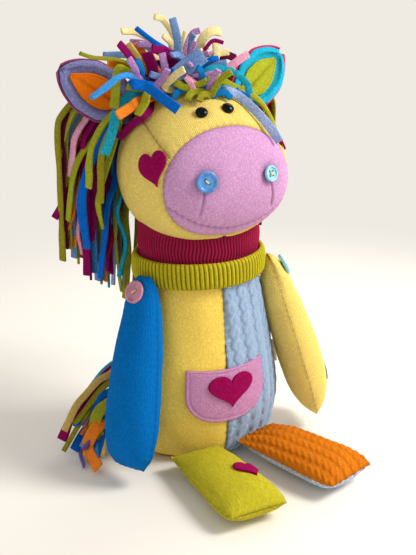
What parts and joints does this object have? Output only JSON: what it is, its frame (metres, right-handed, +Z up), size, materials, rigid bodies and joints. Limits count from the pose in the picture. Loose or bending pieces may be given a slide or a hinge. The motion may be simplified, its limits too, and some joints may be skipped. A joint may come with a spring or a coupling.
{
  "type": "plush horse",
  "caption": "Sitting patchwork plush horse of sewn wool panels over stuffing, with a felt strip mane and tail, button nostrils, button-jointed arms and a patch pocket.",
  "frame": {"origin": "middle of the flat face under the torso, on which the horse sits", "axes": "+Z up, -Y the way the horse faces, +X to the horse's own left"},
  "size_m": [0.2441, 0.248, 0.3906],
  "materials": {
    "yellow_wool": "felted wool",
    "blue_cable": "cable knit",
    "mauve_wool": "felted wool",
    "lilac_wool": "felted wool",
    "pale_lilac_wool": "felted wool",
    "lime_wool": "felted wool",
    "lime_rib": "ribbed knit",
    "burgundy_rib": "ribbed knit",
    "orange_cable": "cable knit",
    "heather_wool": "felted wool",
    "royal_wool": "felted wool",
    "magenta_felt": "felt",
    "crimson_felt": "felt",
    "periwinkle_felt": "felt",
    "turquoise_felt": "felt",
    "mixed_felt": "felt strips of many colours",
    "navy_felt": "felt",
    "label_tape": "woven tape",
    "stuffing": "polyester fibre",
    "cream_thread": "cotton thread",
    "black_eye": "glossy",
    "white_plastic": "matt",
    "azure_button": "glossy",
    "sky_button": "glossy",
    "pink_button": "glossy"
  },
  "bodies": {
    "torso": {"torso_front_right": "yellow_wool", "torso_front_left": "blue_cable", "torso_back_left": "mauve_wool", "torso_back_right": "mauve_wool", "torso_base": "mauve_wool", "torso_filling": "stuffing", "pocket": "pale_lilac_wool", "pocket_heart": "magenta_felt", "side_label": "label_tape", "neck_cuff": "lime_rib"},
    "neck": {"neck_collar": "burgundy_rib", "neck_filling": "stuffing"},
    "head": {"head_side_right": "yellow_wool", "head_side_left": "yellow_wool", "head_gusset": "yellow_wool", "muzzle_top": "lilac_wool", "muzzle_chin": "lilac_wool", "head_filling": "stuffing", "right_cheek_heart": "magenta_felt", "left_cheek_heart": "magenta_felt", "right_eye": "black_eye", "left_eye": "black_eye", "right_eye_washer": "white_plastic", "left_eye_washer": "white_plastic", "right_nostril_button": "azure_button", "left_nostril_button": "sky_button", "right_nostril_stitch": "cream_thread", "left_nostril_stitch": "cream_thread", "mane_forelock": "mixed_felt", "mane_crown": "mixed_felt", "mane_right": "mixed_felt", "mane_left": "mixed_felt"},
    "right_ear": {"right_ear_back": "magenta_felt", "right_ear_front": "periwinkle_felt", "right_ear_inner": "orange_cable"},
    "left_ear": {"left_ear_back": "crimson_felt", "left_ear_front": "turquoise_felt", "left_ear_inner": "lime_wool"},
    "right_arm": {"right_arm_outer": "royal_wool", "right_arm_inner": "royal_wool", "right_arm_filling": "stuffing", "right_shoulder_button": "pink_button", "right_shoulder_thread": "cream_thread", "right_shoulder_anchor": "white_plastic"},
    "left_arm": {"left_arm_outer": "yellow_wool", "left_arm_inner": "yellow_wool", "left_arm_filling": "stuffing", "left_shoulder_button": "sky_button", "left_shoulder_thread": "cream_thread", "left_shoulder_anchor": "white_plastic", "left_arm_patch": "navy_felt"},
    "right_leg": {"right_leg_top": "lime_wool", "right_leg_sole": "lime_wool", "right_leg_filling": "stuffing", "right_leg_heart": "magenta_felt"},
    "left_leg": {"left_leg_top": "orange_cable", "left_leg_sole": "heather_wool", "left_leg_filling": "stuffing"},
    "tail": {"tail": "mixed_felt"}
  },
  "joints": [
    {"name": "head_turn", "type": "hinge", "parent": "torso", "child": "neck", "pos_m": [0, 0, 0.178], "axis": [0, 0, 1], "range_deg": [-25, 25], "stiffness_Nm_per_rad": 0.8, "deforming": ["neck_collar", "neck_filling", "mane_forelock", "mane_crown", "mane_right", "mane_left"]},
    {"name": "head_nod", "type": "hinge", "parent": "neck", "child": "head", "pos_m": [0, 0, 0.205], "axis": [1, 0, 0], "range_deg": [-12, 12], "stiffness_Nm_per_rad": 2, "deforming": ["neck_collar", "neck_filling", "mane_forelock", "mane_crown", "mane_right", "mane_left"]},
    {"name": "right_ear_fold", "type": "hinge", "parent": "head", "child": "right_ear", "pos_m": [-0.0495, 0.024, 0.309], "axis": [0.5787, 0.154, 0.8009], "range_deg": [-30, 30], "stiffness_Nm_per_rad": 0.03, "deforming": ["right_ear_back", "right_ear_front", "right_ear_inner"]},
    {"name": "left_ear_fold", "type": "hinge", "parent": "head", "child": "left_ear", "pos_m": [0.0495, 0.024, 0.309], "axis": [0.5787, -0.154, -0.8009], "range_deg": [-30, 30], "stiffness_Nm_per_rad": 0.03, "deforming": ["left_ear_back", "left_ear_front", "left_ear_inner"]},
    {"name": "right_shoulder", "type": "hinge", "parent": "torso", "child": "right_arm", "pos_m": [-0.06467, -0.02101, 0.163], "axis": [-0.9228, -0.2998, 0.2419], "range_deg": [-12, 80]},
    {"name": "left_shoulder", "type": "hinge", "parent": "torso", "child": "left_arm", "pos_m": [0.06467, -0.02101, 0.163], "axis": [-0.9095, 0.2955, -0.2924], "range_deg": [-12, 80], "deforming": ["side_label"]},
    {"name": "right_hip", "type": "hinge", "parent": "torso", "child": "right_leg", "pos_m": [-0.033, -0.0525, 0.0152], "axis": [-1, 0, 0], "range_deg": [0, 48]},
    {"name": "left_hip", "type": "hinge", "parent": "torso", "child": "left_leg", "pos_m": [0.033, -0.04746, 0.0152], "axis": [-0.9563, -0.2924, 0], "range_deg": [0, 48]},
    {"name": "tail_swing", "type": "hinge", "parent": "torso", "child": "tail", "pos_m": [0, 0.057, 0.043], "axis": [0, 0, -1], "range_deg": [0, 80], "deforming": ["tail"]}
  ]
}
